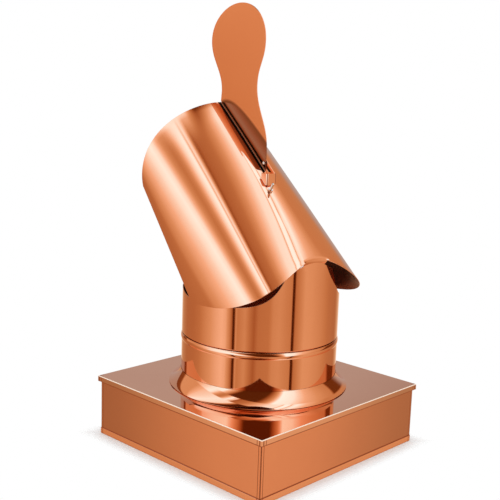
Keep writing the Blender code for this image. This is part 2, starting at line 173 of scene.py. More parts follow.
def applied(obj):
    """Replaces an object's mesh by what its modifiers make of it."""
    graph = bpy.context.evaluated_depsgraph_get()
    mesh = bpy.data.meshes.new_from_object(obj.evaluated_get(graph))
    obj.modifiers.clear()
    obj.data = mesh
    mesh.transform(obj.matrix_basis)
    obj.matrix_basis = Matrix()
    return obj


def rounded(obj, width=EDGE_ROUND, segments=2, angle=40):
    """Rounds the cut edges a little, so that they catch the light."""
    bevel = obj.modifiers.new("Round", "BEVEL")
    bevel.width = width
    bevel.segments = segments
    bevel.limit_method = "ANGLE"
    bevel.angle_limit = math.radians(angle)
    return applied(obj)


def finished(obj, body, slot, material, *nodes):
    """Shades a piece, gives it its finish, and puts it on its body in place of its solid."""
    obj.data.shade_smooth()
    obj.data.set_sharp_from_angle(angle=math.radians(50))
    weighted = obj.modifiers.new("Normals", "WEIGHTED_NORMAL")
    weighted.keep_sharp = True
    applied(obj)
    obj.data.materials.clear()
    obj.data.materials.append(material)
    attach(obj, body)
    if nodes:
        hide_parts(*nodes)
    return obj


def joined(columns_list):
    """One open sheet from lists of point columns, welded where they share points."""
    shape = bmesh.new()
    for columns in columns_list:
        verts = [[shape.verts.new(point) for point in column] for column in columns]
        for left, right in zip(verts, verts[1:]):
            for i in range(min(len(left), len(right)) - 1):
                shape.faces.new((left[i], left[i + 1], right[i + 1], right[i]))
    bmesh.ops.remove_doubles(shape, verts=shape.verts, dist=0.01 * MM)
    return shape


def wave(angle, sizes):
    return sum(size * math.sin(order * angle) for order, size in enumerate(sizes, 1))


def sweep(angle, sizes):
    return sum(size * (1 - math.cos(order * angle)) for order, size in enumerate(sizes, 1))


def edge_point(angle):
    """A point of the hood's lower edge, before the bend at the tongue is rounded."""
    return Vector(
        (
            CREST_FOOT_S - sweep(angle, EDGE_BACK),
            wave(angle, EDGE_WIDE),
            CREST_FOOT_Z - sweep(angle, EDGE_DROP),
        )
    )


def rim_point(angle):
    """A point of the hood's upper rim, which leans towards the mouth and bows a little."""
    deep = sweep(angle, RIM_DEEP)
    bow = sweep(angle, RIM_BOW)
    return Vector(
        (
            CREST_TOP_S - deep * math.cos(RIM_TILT) - bow * math.sin(RIM_TILT),
            wave(angle, RIM_WIDE),
            CREST_TOP_Z - deep * math.sin(RIM_TILT) + bow * math.cos(RIM_TILT),
        )
    )


def crest_z(s):
    """The height of the hood's crest line, on its outer side."""
    share = (CREST_FOOT_S - s) / (CREST_FOOT_S - CREST_TOP_S)
    swell = CREST_SWELL * math.sin(math.pi * share) / math.cos(CREST_ANGLE)
    return CREST_FOOT_Z + (CREST_FOOT_S - s) * math.tan(CREST_ANGLE) + swell


def crest_slope(s):
    return (crest_z(s + MM) - crest_z(s - MM)) / (2 * MM)


def hood_point(angle, share):
    """A point of the hood's outer side, a share of the way up the ruling at this angle."""
    rim = rim_point(angle * RIM_HALF_ANGLE / EDGE_HALF_ANGLE)
    swell = CREST_SWELL * math.sin(math.pi * share) * math.exp(-((angle / SWELL_SPREAD) ** 2))
    outward = Vector((math.sin(CREST_ANGLE), 0, math.cos(CREST_ANGLE)))
    return edge_point(angle).lerp(rim, share) + outward * swell


def bend_share(angle):
    """How far up its ruling the hood starts to bend over to the tongue."""
    rim = rim_point(angle * RIM_HALF_ANGLE / EDGE_HALF_ANGLE)
    return BEND_LEG / (rim - edge_point(angle)).length


def drum_edge_z(angle):
    """The height of the drum's cut edge, which rises to the mouth and into the tongue."""
    turn = abs(angle)
    if turn > MOUTH_SIDE_ANGLE:
        share = min((turn - MOUTH_SIDE_ANGLE) / MOUTH_SIDE_SPREAD, 1)
        return DRUM_EDGE_Z + MOUTH_SIDE_RISE * (1 - math.cos(math.pi * share)) / 2
    shoulder = DRUM_EDGE_Z + TONGUE_SHOULDER_RISE
    if turn > TONGUE_SHOULDER_ANGLE:
        share = math.exp((TONGUE_SHOULDER_ANGLE - turn) / TONGUE_FLANK_ANGLE)
        return DRUM_EDGE_Z + TONGUE_SHOULDER_RISE * share
    corner = edge_point(TONGUE_HALF_ANGLE)
    corner_turn = math.atan2(corner.y, corner.x)
    share = (TONGUE_SHOULDER_ANGLE - turn) / (TONGUE_SHOULDER_ANGLE - corner_turn)
    return shoulder + (corner.z - BEND_LEG - shoulder) * share


def bend_points(angle):
    """The hood's ruling at this angle runs over the bend and down to the drum's wall."""
    corner = edge_point(angle)
    turn = math.atan2(corner.y, corner.x)
    top = hood_point(angle, bend_share(angle))
    foot = Vector((PIPE_RADIUS * math.cos(turn), PIPE_RADIUS * math.sin(turn), corner.z - BEND_LEG))
    points = []
    for i in range(BEND_ROWS + 1):
        t = i / BEND_ROWS
        points.append(top * (1 - t) ** 2 + corner * 2 * t * (1 - t) + foot * t**2)
    return points


def hood_column(angle):
    """Points down the hood from its rim to its lower edge, or over the bend at the tongue."""
    bend = bend_points(angle)
    low = bend_share(angle)
    points = [hood_point(angle, 1 - (1 - low) * i / HOOD_ROWS) for i in range(HOOD_ROWS)]
    if abs(angle) <= TONGUE_HALF_ANGLE + 1e-6:
        return points + bend
    half = BEND_ROWS // 2
    edge = edge_point(angle)
    return points + [bend[0].lerp(edge, i / half) for i in range(half + 1)]


def drum_column(turn, top_z):
    """Points up the drum, from the spigot inside the pipe to the cut edge."""
    rows = [
        (SPIGOT_RADIUS, PIPE_TOP - SPIGOT_DEPTH),
        (SPIGOT_RADIUS, PIPE_TOP - 0.4 * MM),
        (SPIGOT_RADIUS, PIPE_TOP + TOUCH_GAP),
        (PIPE_RADIUS, PIPE_TOP + GROOVE_WIDTH),
        (PIPE_RADIUS, PIPE_TOP + GROOVE_WIDTH + 0.5 * MM),
    ]
    start = rows[-1][1]
    for i in range(1, DRUM_ROWS + 1):
        rows.append((PIPE_RADIUS, start + (top_z - start) * i / DRUM_ROWS))
    return [Vector((r * math.cos(turn), r * math.sin(turn), z)) for r, z in rows]


def tongue_angles():
    return [TONGUE_HALF_ANGLE * (2 * i / TONGUE_COLUMNS - 1) for i in range(TONGUE_COLUMNS + 1)]


def drum_turns():
    """Angles round the drum from the tongue's corner to its other corner, closer at the flanks."""
    corner = edge_point(TONGUE_HALF_ANGLE)
    first = math.atan2(corner.y, corner.x)
    flank = TONGUE_SHOULDER_ANGLE + 4 * TONGUE_FLANK_ANGLE
    half = [first + (TONGUE_SHOULDER_ANGLE - first) * i / 6 for i in range(6)]
    half += [TONGUE_SHOULDER_ANGLE + (flank - TONGUE_SHOULDER_ANGLE) * i / 30 for i in range(30)]
    back = [flank + (2 * math.pi - 2 * flank) * i / DRUM_COLUMNS for i in range(DRUM_COLUMNS + 1)]
    return half + back + [2 * math.pi - turn for turn in reversed(half)]


def head_sheet(material):
    """Drum, tongue and hood: one sheet, slit beside the tongue and bent over at its top."""
    wing = [
        TONGUE_HALF_ANGLE + (EDGE_HALF_ANGLE - TONGUE_HALF_ANGLE) * i / WING_COLUMNS
        for i in range(1, WING_COLUMNS + 1)
    ]
    angles = [-angle for angle in reversed(wing)] + tongue_angles() + wing
    hood = [hood_column(angle) for angle in angles]
    tongue = []
    for angle in tongue_angles():
        foot = hood_column(angle)[-1]
        tongue.append(drum_column(math.atan2(foot.y, foot.x), foot.z)[::-1])
    drum = []
    for turn in drum_turns():
        nearest = math.atan2(math.sin(turn), math.cos(turn))
        drum.append(drum_column(turn, drum_edge_z(nearest))[::-1])
    shape = joined([hood, tongue, drum])
    bmesh.ops.recalc_face_normals(shape, faces=shape.faces)
    shape.faces.ensure_lookup_table()
    crest_face = max(shape.faces, key=lambda face: face.calc_center_median().z)
    if crest_face.normal.z < 0:
        bmesh.ops.reverse_faces(shape, faces=shape.faces)
    obj = shape_object("head_sheet", shape)
    sheet = obj.modifiers.new("Sheet", "SOLIDIFY")
    sheet.thickness = SHEET
    sheet.offset = -1
    sheet.use_even_offset = True
    sheet.material_offset = 1
    for _ in range(2):
        obj.data.materials.append(material)
    obj.rotation_euler = (0, 0, HEAD_TURN)
    applied(obj)
    rounded(obj, angle=60)
    inside = obj.data.attributes.new("inside", "FLOAT", "FACE")
    for polygon in obj.data.polygons:
        inside.data[polygon.index].value = polygon.material_index
        polygon.material_index = 0
    return finished(obj, "head", "polished_copper", material, "head_shell")


NUMBER = "NodeSocketFloat"
VECTOR = "NodeSocketVector"
COLOUR = "NodeSocketColor"
PLACE_INPUT = ("Vector", VECTOR, (0, 0, 0))
COLOUR_INPUT = ("Colour", COLOUR, (0.8, 0.4, 0.25, 1))


def feed(tree, port, value):
    """Feeds an input from a socket, or sets it to a plain value."""
    if isinstance(value, bpy.types.NodeSocket):
        tree.links.new(value, port)
    elif port.type == "RGBA":
        port.default_value = (*value, 1)
    else:
        port.default_value = value


def node(tree, kind, inputs=(), **settings):
    """A node with these settings; its inputs, by name or number, are fed or set."""
    made = tree.nodes.new(kind)
    for name, value in settings.items():
        setattr(made, name, value)
    for label, value in dict(inputs).items():
        feed(tree, made.inputs[label], value)
    return made


def maths(tree, operation, *values, clamp=False):
    """One Math node fed by sockets or plain numbers; gives its output."""
    inputs = enumerate(values)
    made = node(tree, "ShaderNodeMath", inputs, operation=operation, use_clamp=clamp)
    return made.outputs[0]


def vectors(tree, operation, *values):
    """One Vector Math node, of the kind that gives a vector."""
    return node(tree, "ShaderNodeVectorMath", enumerate(values), operation=operation).outputs[0]


def axes(tree, vector):
    """A vector's X, Y and Z."""
    return node(tree, "ShaderNodeSeparateXYZ", {0: vector}).outputs


def smooth(tree, value, start, end, low=0.0, high=1.0):
    """A value taken smoothly from low to high as it goes from start to end."""
    inputs = {
        "Value": value,
        "From Min": start,
        "From Max": end,
        "To Min": low,
        "To Max": high,
    }
    return node(tree, "ShaderNodeMapRange", inputs, interpolation_type="SMOOTHSTEP").outputs[0]


def blended(tree, share, first, second, how="MIX"):
    """The second colour over the first by this share."""
    mix = node(tree, "ShaderNodeMix", data_type="RGBA", blend_type=how)
    ports = {socket.identifier: socket for socket in (*mix.inputs, *mix.outputs)}
    feed(tree, ports["Factor_Float"], share)
    feed(tree, ports["A_Color"], first)
    feed(tree, ports["B_Color"], second)
    return ports["Result_Color"]


def turning_tree():
    """Geometry Nodes that turn a closed profile round the Z axis.

    The profile lies in the object's own X and Y: X is the distance from the mean radius,
    and Y the height.
    """
    tree = bpy.data.node_groups.new("turned_piece", "GeometryNodeTree")
    sockets = [("Profile", "Geometry"), ("Radius", "Float"), ("Sides", "Int"), ("Finish", "Material")]
    made = [
        tree.interface.new_socket(label, in_out="INPUT", socket_type="NodeSocket" + kind)
        for label, kind in sockets
    ]
    tree.interface.new_socket("Piece", in_out="OUTPUT", socket_type="NodeSocketGeometry")
    given = tree.nodes.new("NodeGroupInput").outputs
    result = tree.nodes.new("NodeGroupOutput").inputs
    profile = node(tree, "GeometryNodeMeshToCurve", {"Mesh": given["Profile"]}).outputs["Curve"]
    circle = {"Radius": given["Radius"], "Resolution": given["Sides"]}
    circle = node(tree, "GeometryNodeCurvePrimitiveCircle", circle).outputs["Curve"]
    upright = node(tree, "GeometryNodeSetCurveNormal", {"Curve": circle}, mode="Z_UP")
    swept = {"Curve": upright.outputs["Curve"], "Profile Curve": profile}
    swept = node(tree, "GeometryNodeCurveToMesh", swept).outputs["Mesh"]
    real = node(tree, "GeometryNodeRealizeInstances", {"Geometry": swept}).outputs["Geometry"]
    painted = {"Geometry": real, "Material": given["Finish"]}
    painted = node(tree, "GeometryNodeSetMaterial", painted).outputs["Geometry"]
    feed(tree, result["Piece"], painted)
    return tree, [socket.identifier for socket in made[1:]]


TURNING, TURNING_INPUTS = turning_tree()


def turned(name, profile, mean_radius, material, sides=TURN_SIDES, place=None):
    """A closed profile of (radius, height) points, turned round an axis."""
    shape = bmesh.new()
    verts = [shape.verts.new((radius - mean_radius, -height, 0)) for radius, height in profile]
    for i, vert in enumerate(verts):
        shape.edges.new((vert, verts[(i + 1) % len(verts)]))
    obj = shape_object(name, shape)
    modifier = obj.modifiers.new("Turn", "NODES")
    modifier.node_group = TURNING
    for identifier, value in zip(TURNING_INPUTS, (mean_radius, sides, material)):
        modifier[identifier] = value
    applied(obj)
    outward(obj)
    if place is not None:
        obj.data.transform(place)
    return obj


def outward(obj):
    """Makes a closed mesh's faces point outwards."""
    shape = bmesh.new()
    shape.from_mesh(obj.data)
    bmesh.ops.remove_doubles(shape, verts=shape.verts, dist=0.001 * MM)
    bmesh.ops.recalc_face_normals(shape, faces=shape.faces)
    shape.to_mesh(obj.data)
    shape.free()
    return obj


def arc(centre, radius, start, end, steps):
    """Points along an arc of a profile, from one angle to another."""
    return [
        (
            centre[0] + radius * math.cos(start + (end - start) * i / steps),
            centre[1] + radius * math.sin(start + (end - start) * i / steps),
        )
        for i in range(steps + 1)
    ]


def pipe_wall(material):
    """The fixed pipe, with its rolled bead just below the top edge."""
    bead_top = PIPE_TOP - BEAD_BELOW_TOP
    half = SHEET / 2
    steps = 28
    profile = arc((PIPE_RADIUS - half, PIPE_TOP - half), half, math.pi, 0, 8)
    for i in range(steps + 1):
        share = i / steps
        height = bead_top - BEAD_HEIGHT * share
        swell = math.sin(math.pi * share) ** 0.8
        profile.append((PIPE_RADIUS + BEAD_PROUD * swell, height))
    bottom = BASE_HEIGHT - PIPE_BELOW_PLATE
    for i in range(1, 13):
        profile.append((PIPE_RADIUS, profile[-1][1] + (bottom - profile[-1][1]) * i / 12))
    profile.append((PIPE_RADIUS - SHEET, bottom))
    profile.append((PIPE_RADIUS - SHEET, (bottom + PIPE_TOP) / 2))
    obj = turned("pipe_wall", profile, PIPE_RADIUS, material)
    return finished(obj, "base", "polished_copper", material, "pipe")


def collar_flare(material):
    """The bell-shaped flare over the joint: steep at the pipe, and flatter towards its rim."""
    foot = BASE_HEIGHT + TOUCH_GAP
    start = Vector((PIPE_RADIUS + TOUCH_GAP, foot + COLLAR_HEIGHT))
    chord = Vector((COLLAR_REACH, SHEET - COLLAR_HEIGHT))
    bend = chord.length / (2 * math.sin(COLLAR_HOLLOW))
    first = math.atan2(-chord.y, chord.x) + COLLAR_HOLLOW
    centre = start + Vector((math.sin(first), math.cos(first))) * bend
    steps = 40
    outer, inner = [], []
    for i in range(steps + 1):
        angle = first - 2 * COLLAR_HOLLOW * i / steps
        away = Vector((math.sin(angle), math.cos(angle)))
        outer.append(tuple(centre - away * bend))
        inner.append(tuple(centre - away * (bend + SHEET)))
    inner = [(radius, height) for radius, height in inner if radius > PIPE_RADIUS + TOUCH_GAP]
    inner.insert(0, (PIPE_RADIUS + TOUCH_GAP, inner[0][1] + SHEET))
    obj = turned("collar_flare", outer + inner[::-1], PIPE_RADIUS + COLLAR_REACH / 2, material)
    return finished(obj, "base", "polished_copper", material, "flared_collar")


def frame_loop(shape, half, height, corner, steps=6):
    """A square ring of vertices with rounded corners."""
    verts = []
    for side in range(4):
        turn = side * math.pi / 2
        middle = Vector((half - corner, half - corner, height))
        for i in range(steps + 1):
            angle = i / steps * math.pi / 2
            point = middle + Vector((math.cos(angle), math.sin(angle), 0)) * corner
            verts.append(shape.verts.new(Matrix.Rotation(turn, 3, "Z") @ point))
    return verts


def bridge(shape, lower, upper):
    for i in range(len(lower)):
        j = (i + 1) % len(lower)
        shape.faces.new((lower[i], lower[j], upper[j], upper[i]))


def square_shell(name, profile, corner):
    """Square rings of (half width, height) bridged one to the next, and the last to the first."""
    shape = bmesh.new()
    rings = [
        frame_loop(shape, half, height, max(corner - (profile[0][0] - half), 0.3 * MM))
        for half, height in profile
    ]
    for lower, upper in zip(rings, rings[1:] + rings[:1]):
        bridge(shape, lower, upper)
    bmesh.ops.recalc_face_normals(shape, faces=shape.faces)
    return shape_object(name, shape)


def top_plate(material):
    """The plate, with its round hole and its drip lip folded down along four sides."""
    shape = bmesh.new()
    steps = 64
    corner = 1.2 * MM
    fold = 1.0 * MM

    def square_point(angle, half, height):
        """The point of a square at this angle from its middle, for rings that match the hole's."""
        reach = half / max(abs(math.cos(angle)), abs(math.sin(angle)))
        return (reach * math.cos(angle), reach * math.sin(angle), height)

    angles = [2 * math.pi * i / (4 * steps) for i in range(4 * steps)]
    hole = PIPE_RADIUS + TOUCH_GAP
    profile = [(LIP_HALF - fold - 0.3 * MM, BASE_HEIGHT), (LIP_HALF - fold, BASE_HEIGHT)]
    profile += [
        (LIP_HALF - fold + fold * math.sin(turn), BASE_HEIGHT - fold + fold * math.cos(turn))
        for turn in [math.pi / 2 * i / 5 for i in range(1, 6)]
    ]
    profile += [
        (LIP_HALF, BASE_HEIGHT - LIP_DEPTH + 0.4 * MM),
        (LIP_HALF - 0.12 * MM, BASE_HEIGHT - LIP_DEPTH + 0.12 * MM),
        (LIP_HALF - 0.4 * MM, BASE_HEIGHT - LIP_DEPTH),
        (LIP_HALF - LIP_THICKNESS, BASE_HEIGHT - LIP_DEPTH),
        (LIP_HALF - LIP_THICKNESS, PLATE_UNDERSIDE),
    ]

    def circle(height):
        return [shape.verts.new((hole * math.cos(a), hole * math.sin(a), height)) for a in angles]

    rings = [circle(BASE_HEIGHT)]
    for half, height in profile:
        rings.append([shape.verts.new(square_point(a, half, height)) for a in angles])
    rings.append(circle(PLATE_UNDERSIDE))
    for lower, upper in zip(rings, rings[1:] + rings[:1]):
        bridge(shape, lower, upper)
    bmesh.ops.recalc_face_normals(shape, faces=shape.faces)
    obj = shape_object("top_plate", shape)
    return finished(obj, "base", "polished_copper", material, "base_top")


def skirt_sides(material):
    """The four satin sides, with the hem folded out and up along the bottom."""
    top = PLATE_UNDERSIDE - TOUCH_GAP
    inside = SKIRT_HALF - SHEET
    hem = SKIRT_HALF + SHEET
    profile = [
        (hem - 0.5 * MM, 0),
        (hem - 0.15 * MM, 0.15 * MM),
        (hem, 0.5 * MM),
        (hem, HEM_HEIGHT - 0.35 * MM),
        (hem - 0.1 * MM, HEM_HEIGHT - 0.1 * MM),
        (hem - 0.35 * MM, HEM_HEIGHT),
        (SKIRT_HALF, HEM_HEIGHT),
        (SKIRT_HALF, top),
        (inside, top),
        (inside, 0),
    ]
    obj = square_shell("skirt_sides", profile, 1.4 * MM)
    return finished(obj, "base", "satin_copper", material, "base_skirt")


def vane_outline():
    """The paddle's outline as Bezier points: s, z, the handle before and the handle after."""
    gap = TOUCH_GAP / math.cos(CREST_ANGLE)
    paddle_back = PADDLE_S + PADDLE_HALF_WIDTH
    paddle_front = PADDLE_S - PADDLE_HALF_WIDTH
    round_handle = 0.5523 * (PADDLE_TOP_Z - PADDLE_Z)
    neck_handle = 0.45 * (PADDLE_Z - NECK_BACK_Z)
    foot_back_z = crest_z(FOOT_BACK_S) + gap
    foot_front_z = crest_z(FOOT_FRONT_S) + gap
    straight = foot_back_z + FOOT_STRAIGHT
    third = (FOOT_BACK_S - FOOT_FRONT_S) / 3
    return [
        (FOOT_FRONT_S, foot_front_z, (0, 4 * MM), (third, third * crest_slope(FOOT_FRONT_S))),
        (
            FOOT_BACK_S,
            foot_back_z,
            (-third, -third * crest_slope(FOOT_BACK_S)),
            (0, FOOT_STRAIGHT / 3),
        ),
        (FOOT_BACK_S, straight, (0, -FOOT_STRAIGHT / 3), (0, FOOT_STRAIGHT)),
        (NECK_BACK_S, NECK_BACK_Z, (0, -FOOT_STRAIGHT), (0, neck_handle)),
        (paddle_back, PADDLE_Z, (0, -neck_handle), (0, round_handle)),
        (
            PADDLE_S + PADDLE_LEAN,
            PADDLE_TOP_Z,
            (0.5523 * PADDLE_HALF_WIDTH, 0),
            (-0.5523 * PADDLE_HALF_WIDTH, 0),
        ),
        (paddle_front, PADDLE_Z, (0, round_handle), (0, -neck_handle)),
        (NECK_FRONT_S, NECK_FRONT_Z, (0, neck_handle), (0, -4 * MM)),
    ]


def vane_plate(material):
    """A flat paddle on a neck, whose foot follows the crest line."""
    points = vane_outline()
    curve = bpy.data.curves.new("vane_plate", "CURVE")
    curve.dimensions = "2D"
    curve.fill_mode = "BOTH"
    curve.extrude = VANE_THICKNESS / 2
    curve.resolution_u = 24
    spline = curve.splines.new("BEZIER")
    spline.bezier_points.add(len(points) - 1)
    spline.use_cyclic_u = True
    for point, (s, z, before, after) in zip(spline.bezier_points, points):
        point.handle_left_type = "FREE"
        point.handle_right_type = "FREE"
        point.co = (s, z, 0)
        point.handle_left = (s + before[0], z + before[1], 0)
        point.handle_right = (s + after[0], z + after[1], 0)
    outline = bpy.data.objects.new("vane_curve", curve)
    bpy.context.scene.collection.objects.link(outline)
    graph = bpy.context.evaluated_depsgraph_get()
    mesh = bpy.data.meshes.new_from_object(outline.evaluated_get(graph))
    bpy.data.objects.remove(outline)
    mesh.transform(Matrix.Rotation(HEAD_TURN, 4, "Z") @ Matrix.Rotation(math.pi / 2, 4, "X"))
    obj = outward(mesh_object("vane_plate", mesh))
    rounded(obj, width=0.3 * MM, segments=3)
    return finished(obj, "head", "satin_copper", material, "vane")


def hood_seat(s, y, lift):
    """A place lifted off the hood at s and y: its x runs down the slope, its z outwards."""
    angle, share, step = 0.1, 0.5, 1e-4
    for _ in range(8):
        point = hood_point(angle, share)
        across = (hood_point(angle + step, share) - point) / step
        along = (hood_point(angle, share + step) - point) / step
        error = Vector((s - point.x, y - point.y))
        size = across.x * along.y - across.y * along.x
        angle += (error.x * along.y - error.y * along.x) / size
        share += (across.x * error.y - across.y * error.x) / size
    down = -along.normalized()
    normal = across.cross(along).normalized()
    if normal.z < 0:
        normal.negate()
    turn = Matrix((down, normal.cross(down), normal)).transposed().to_4x4()
    place = Matrix.Translation(hood_point(angle, share) + normal * lift) @ turn
    return Matrix.Rotation(HEAD_TURN, 4, "Z") @ place


def clip_strip(material):
    """The clip: one strip along the vane's far side, across behind it, and back up the slope."""
    arm_side = VANE_THICKNESS / 2 + TOUCH_GAP + CLIP_SHEET / 2
    far = arm_side - CLIP_WIDTH + CLIP_SHEET
    back = CLIP_BACK_S - CLIP_SHEET / 2
    corner = 2.2 * MM
    top = crest_z(CLIP_BACK_S) + CLIP_HEIGHT
    line = [(CLIP_FRONT_S, arm_side)]
    centre_arm = (back - corner, arm_side - corner)
    centre_far = (back - corner, far + corner)
    line += arc(centre_arm, corner, math.pi / 2, 0, 8)
    line += arc(centre_far, corner, 0, -math.pi / 2, 8)
    line.append((CLIP_BACK_S - CLIP_DEPTH, far))
    shape = bmesh.new()
    normal = hood_seat(CLIP_BACK_S - CLIP_DEPTH / 2, far / 2, 0)
    normal = Matrix.Rotation(-HEAD_TURN, 4, "Z") @ normal
    base = normal.to_translation() + normal.col[2].to_3d() * CLIP_CLEARANCE
    lean = normal.col[2].to_3d()
    low, high = [], []
    for s, y in line:
        under = base.z - (lean.x * (s - base.x) + lean.y * (y - base.y)) / lean.z
        above = top
        if s < CLIP_BACK_S - CLIP_DEPTH:
            above = under + CLIP_ARM_HEIGHT
        low.append(shape.verts.new((s, y, under)))
        high.append(shape.verts.new((s, y, above)))
    for i in range(len(line) - 1):
        shape.faces.new((low[i], low[i + 1], high[i + 1], high[i]))
    obj = shape_object("clip_strip", shape)
    sheet = obj.modifiers.new("Sheet", "SOLIDIFY")
    sheet.thickness = CLIP_SHEET
    sheet.offset = 0
    obj.rotation_euler = (0, 0, HEAD_TURN)
    applied(obj)
    rounded(obj, width=0.3 * MM)
    return finished(obj, "head", "polished_copper", material, "vane_clip")


def threaded_bolt(material):
    """The bolt's stub, with its thread cut as rings a pitch apart and a chamfered end."""
    profile = [(0.02 * MM, BOLT_LENGTH), (BOLT_RADIUS - 0.5 * MM, BOLT_LENGTH)]
    height = BOLT_LENGTH - 0.4 * MM
    while height > THREAD_PITCH:
        profile.append((BOLT_RADIUS, height))
        profile.append((BOLT_RADIUS - THREAD_DEPTH, height - THREAD_PITCH / 2))
        height -= THREAD_PITCH
    profile += [(BOLT_RADIUS - THREAD_DEPTH, 0), (0.02 * MM, 0)]
    place = hood_seat(CLIP_BACK_S + BOLT_FROM_CLIP, -BOLT_SIDE, TOUCH_GAP)
    obj = turned("threaded_bolt", profile, BOLT_RADIUS / 2, material, 32, place)
    return finished(obj, "head", "bolt_metal", material, "vane_bolt")


def hex_nut(material):
    """The nut at the bolt's foot, with chamfered corners."""
    shape = bmesh.new()
    bore = BOLT_RADIUS + 0.1 * MM
    angles = [math.pi / 3 * i / 8 for i in range(48)]
    flat = NUT_RADIUS * math.cos(math.pi / 6)
    rings = []
    for cut, height in ((0.3, 0), (0, 0.35), (0, 0.65), (0.3, 1)):
        ring = []
        for angle in angles:
            turn = (angle + math.pi / 6) % (math.pi / 3) - math.pi / 6
            reach = min(flat / math.cos(turn), NUT_RADIUS * 0.985)
            if cut:
                reach = min(reach, flat + 0.05 * MM)
            ring.append(
                shape.verts.new(
                    (reach * math.cos(angle), reach * math.sin(angle), height * NUT_HEIGHT)
                )
            )
        rings.append(ring)
    for height in (NUT_HEIGHT, 0):
        rings.append(
            [shape.verts.new((bore * math.cos(a), bore * math.sin(a), height)) for a in angles]
        )
    for lower, upper in zip(rings, rings[1:] + rings[:1]):
        bridge(shape, lower, upper)
    bmesh.ops.recalc_face_normals(shape, faces=shape.faces)
    obj = shape_object("hex_nut", shape)
    obj.data.transform(hood_seat(CLIP_BACK_S + BOLT_FROM_CLIP, -BOLT_SIDE, TOUCH_GAP))
    return finished(obj, "head", "bolt_metal", material, "vane_nut")


def rivet_head(material):
    """The domed head on the vane's near side, above the clip."""
    dome = [
        (
            max(RIVET_RADIUS * math.sin(turn), 0.02 * MM),
            RIVET_HEIGHT * (0.15 + 0.85 * math.cos(turn)),
        )
        for turn in [math.pi / 2 * i / 12 for i in range(13)]
    ]
    profile = dome + [(RIVET_RADIUS, 0), (0.02 * MM, 0)]
    s = FOOT_BACK_S - RIVET_FROM_END
    place = Matrix.Rotation(HEAD_TURN, 4, "Z") @ Matrix.Translation(
        (s, -VANE_THICKNESS / 2 - TOUCH_GAP, crest_z(s) + RIVET_ABOVE_CREST)
    )
    place = place @ Matrix.Rotation(math.pi / 2, 4, "X")
    obj = turned("rivet_head", profile, RIVET_RADIUS / 2, material, 32, place)
    return finished(obj, "head", "bolt_metal", material, "vane_rivet")


def group(name, inputs, outputs):
    """A shader node group with named inputs, each with its first value, and outputs."""
    tree = bpy.data.node_groups.new(name, "ShaderNodeTree")
    for label, kind, value in inputs:
        socket = tree.interface.new_socket(label, in_out="INPUT", socket_type=kind)
        socket.default_value = value
    for label, kind in outputs:
        tree.interface.new_socket(label, in_out="OUTPUT", socket_type=kind)
    start = tree.nodes.new("NodeGroupInput")
    end = tree.nodes.new("NodeGroupOutput")
    return tree, start.outputs, end.inputs


def rolled_grain_group():
    """Fine lines left by the rolling mill, stretched along one axis of the sheet."""
    tree, given, result = group(
        "rolled_grain",
        [
            PLACE_INPUT,
            ("Fineness", NUMBER, 900.0),
            ("Stretch", VECTOR, (1, 1, 1)),
            ("Strength", NUMBER, 0.3),
        ],
        [("Shade", NUMBER), ("Height", NUMBER)],
    )
    place = vectors(tree, "MULTIPLY", given["Vector"], given["Stretch"])
    inputs = {"Vector": place, "Scale": given["Fineness"], "Detail": 3}
    grain = node(tree, "ShaderNodeTexNoise", inputs).outputs["Fac"]
    centred = maths(tree, "SUBTRACT", grain, 0.5)
    feed(tree, result["Shade"], maths(tree, "MULTIPLY", centred, given["Strength"]))
    feed(tree, result["Height"], grain)
    return tree


def sheet_wave_group():
    """Slow waves of a thin sheet that was rolled round and handled."""
    tree, given, result = group(
        "sheet_waves", [PLACE_INPUT, ("Size", NUMBER, 6.0)], [("Height", NUMBER)]
    )
    inputs = {"Vector": given["Vector"], "Scale": given["Size"], "Detail": 0}
    feed(tree, result["Height"], node(tree, "ShaderNodeTexNoise", inputs).outputs["Fac"])
    return tree


def handling_group():
    """Faint clouds of tarnish and finger marks."""
    tree, given, result = group(
        "handling_marks",
        [
            PLACE_INPUT,
            ("Cloud Size", NUMBER, 9.0),
            COLOUR_INPUT,
            ("Tarnish", COLOUR, (0.6, 0.25, 0.13, 1)),
            ("Amount", NUMBER, 0.3),
            ("Shade", NUMBER, 0.0),
            ("Roughness", NUMBER, 0.1),
            ("Roughness Spread", NUMBER, 0.1),
        ],
        [("Colour", COLOUR), ("Roughness", NUMBER)],
    )
    inputs = {
        "Vector": given["Vector"],
        "Scale": given["Cloud Size"],
        "Detail": 4,
        "Roughness": 0.6,
    }
    cloud = node(tree, "ShaderNodeTexNoise", inputs).outputs["Fac"]
    inputs = {"Value": cloud, "From Min": 0.35, "From Max": 0.75}
    spread = node(tree, "ShaderNodeMapRange", inputs).outputs[0]
    mask = maths(tree, "MULTIPLY", spread, given["Amount"])
    mask = maths(tree, "SUBTRACT", mask, given["Shade"], clamp=True)
    feed(tree, result["Colour"], blended(tree, mask, given["Colour"], given["Tarnish"]))
    rough = maths(tree, "MULTIPLY_ADD", mask, given["Roughness Spread"], given["Roughness"])
    shine = maths(tree, "MULTIPLY", given["Shade"], GRAIN_SHINE)
    feed(tree, result["Roughness"], maths(tree, "SUBTRACT", rough, shine))
    return tree


def on_head(tree, place):
    """Object coordinates turned back to the head's own directions: s, y and z."""
    inputs = {"Vector": place, "Angle": -HEAD_TURN}
    return axes(tree, node(tree, "ShaderNodeVectorRotate", inputs, rotation_type="Z_AXIS").outputs[0])


